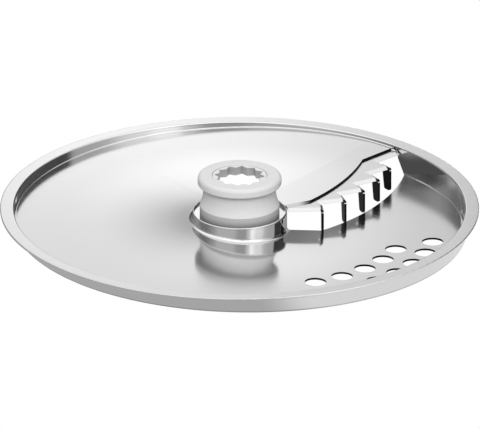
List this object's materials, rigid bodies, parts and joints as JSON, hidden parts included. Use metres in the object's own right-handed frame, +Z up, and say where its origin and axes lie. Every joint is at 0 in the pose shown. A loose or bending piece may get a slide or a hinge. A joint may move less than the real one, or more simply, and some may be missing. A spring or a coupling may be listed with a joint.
{
  "type": "food processor disc",
  "caption": "Round pressed steel disc with a ramp deck, a finned stick-cutting knife over an open throat, drain holes and a plastic drive hub with a star-shaped hole.",
  "frame": {"origin": "on the turning axis, on the surface that the foot ring stands on", "axes": "+Z up along the turning axis, +X across the throat's inner end, so the knife lies from +X towards +Y"},
  "size_m": [0.14, 0.14, 0.0207],
  "materials": {
    "disc_steel": "satin pressed stainless steel",
    "knife_steel": "ground stainless steel",
    "grip_plastic": "moulded, fine satin",
    "sleeve_plastic": "moulded, fine satin"
  },
  "bodies": {
    "root": {"disc": "disc_steel", "knife": "knife_steel", "hub_grip": "grip_plastic", "drive_sleeve": "sleeve_plastic"}
  },
  "joints": []
}
